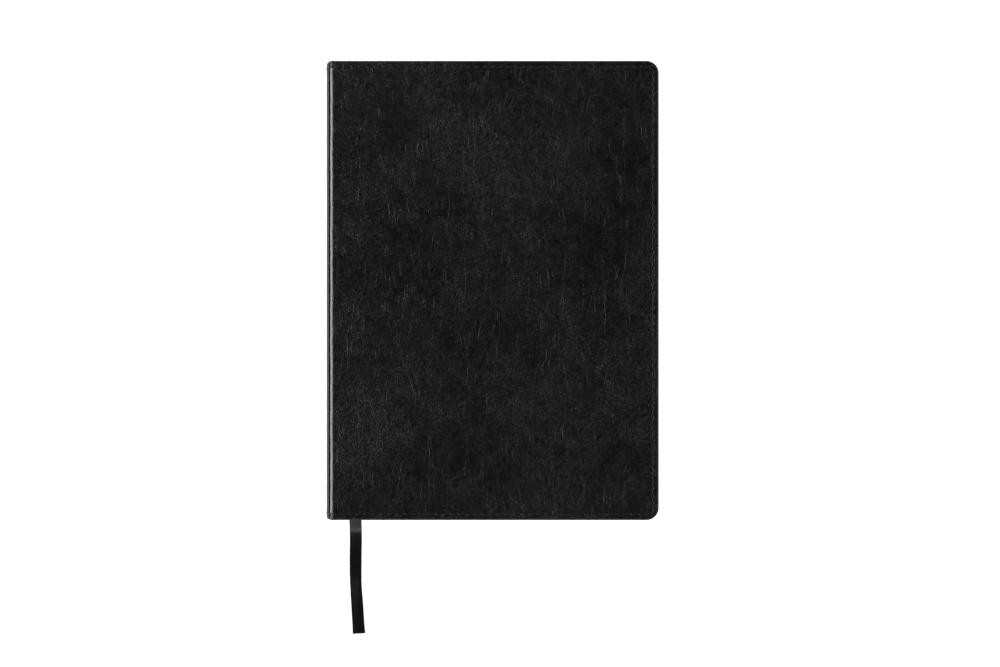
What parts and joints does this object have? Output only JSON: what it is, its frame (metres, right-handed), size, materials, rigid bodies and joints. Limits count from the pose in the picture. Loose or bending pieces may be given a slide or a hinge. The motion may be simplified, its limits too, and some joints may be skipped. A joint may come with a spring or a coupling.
{
  "type": "bible",
  "caption": "Closed hardbound bible with stitched leather-look covers, a rounded spine, turning leaves and a ribbon marker.",
  "frame": {"origin": "middle of the closed book on the surface it lies on, ribbon left out", "axes": "+X to the fore-edge, +Y to the head, +Z out of the front cover"},
  "size_m": [0.179, 0.3116, 0.038],
  "materials": {
    "leather": "fine pebbled leather-look, soft sheen",
    "cover_thread": "black twisted thread",
    "board": "matt grey board",
    "endpaper": "matt black coloured endpaper",
    "pages": "thin bible paper, gilt at its edges",
    "liner_paper": "matt kraft paper",
    "mull_cloth": "open-weave cotton",
    "glue": "dried flexible glue",
    "linen_tape": "plain linen",
    "band_cloth": "woven gold and black band",
    "ribbon_satin": "black satin with woven edges"
  },
  "bodies": {
    "text_block": {"page_section_1": "pages", "page_section_2": "pages", "page_section_3": "pages", "page_section_4": "pages", "page_section_5": "pages", "page_section_6": "pages", "page_section_7": "pages", "page_section_8": "pages", "sewing_thread": "linen_tape", "sewing_tapes": "linen_tape", "spine_glue": "glue", "mull": "mull_cloth", "spine_liner": "liner_paper", "spine_stiffener": "board", "spine_skin": "leather", "spine_stitching": "cover_thread", "head_band": "band_cloth", "tail_band": "band_cloth", "ribbon_inside": "ribbon_satin", "ribbon_tail": "ribbon_satin"},
    "front_cover": {"front_cover_skin": "leather", "front_board": "board", "front_lining": "endpaper", "front_cover_stitching": "cover_thread"},
    "back_cover": {"back_cover_skin": "leather", "back_board": "board", "back_lining": "endpaper", "back_cover_stitching": "cover_thread"},
    "front_flyleaf": {"front_flyleaf": "endpaper"},
    "title_leaf": {"title_leaf": "pages"},
    "leaf_section_1": {"leaf_section_1": "pages"},
    "leaf_section_2": {"leaf_section_2": "pages"},
    "leaf_section_3": {"leaf_section_3": "pages"},
    "leaf_section_4": {"leaf_section_4": "pages"},
    "back_flyleaf": {"back_flyleaf": "endpaper"}
  },
  "joints": [
    {"name": "front_cover_hinge", "type": "hinge", "parent": "text_block", "child": "front_cover", "pos_m": [-0.0855, 0, 0.0368], "axis": [0, -1, 0], "range_deg": [0, 178]},
    {"name": "back_cover_hinge", "type": "hinge", "parent": "text_block", "child": "back_cover", "pos_m": [-0.0855, 0, 0.0012], "axis": [0, 1, 0], "range_deg": [0, 178]},
    {"name": "front_flyleaf_turn", "type": "hinge", "parent": "text_block", "child": "front_flyleaf", "pos_m": [-0.0855, 0, 0.0368], "axis": [0, -1, 0], "range_deg": [0, 173.16]},
    {"name": "title_leaf_turn", "type": "hinge", "parent": "text_block", "child": "title_leaf", "pos_m": [-0.0855, 0, 0.0368], "axis": [0, -1, 0], "range_deg": [0, 164.26]},
    {"name": "leaf_section_1_turn", "type": "hinge", "parent": "text_block", "child": "leaf_section_1", "pos_m": [-0.0855, 0, 0.0368], "axis": [0, -1, 0], "range_deg": [0, 146.46]},
    {"name": "leaf_section_2_turn", "type": "hinge", "parent": "text_block", "child": "leaf_section_2", "pos_m": [-0.0855, 0, 0.0368], "axis": [0, -1, 0], "range_deg": [0, 117.98]},
    {"name": "leaf_section_3_turn", "type": "hinge", "parent": "text_block", "child": "leaf_section_3", "pos_m": [-0.0855, 0, 0.0368], "axis": [0, -1, 0], "range_deg": [0, 85.94]},
    {"name": "leaf_section_4_turn", "type": "hinge", "parent": "text_block", "child": "leaf_section_4", "pos_m": [-0.0855, 0, 0.0368], "axis": [0, -1, 0], "range_deg": [0, 53.9]},
    {"name": "back_flyleaf_turn", "type": "hinge", "parent": "text_block", "child": "back_flyleaf", "pos_m": [-0.0855, 0, 0.0012], "axis": [0, 1, 0], "range_deg": [0, 173.16]}
  ],
  "couplings": [
    {"joint": "front_flyleaf_turn", "follows": "front_cover_hinge", "ratio": 0.97},
    {"joint": "title_leaf_turn", "follows": "front_cover_hinge", "ratio": 0.92},
    {"joint": "leaf_section_1_turn", "follows": "front_cover_hinge", "ratio": 0.82},
    {"joint": "leaf_section_2_turn", "follows": "front_cover_hinge", "ratio": 0.66},
    {"joint": "leaf_section_3_turn", "follows": "front_cover_hinge", "ratio": 0.48},
    {"joint": "leaf_section_4_turn", "follows": "front_cover_hinge", "ratio": 0.3},
    {"joint": "back_flyleaf_turn", "follows": "back_cover_hinge", "ratio": 0.97}
  ]
}
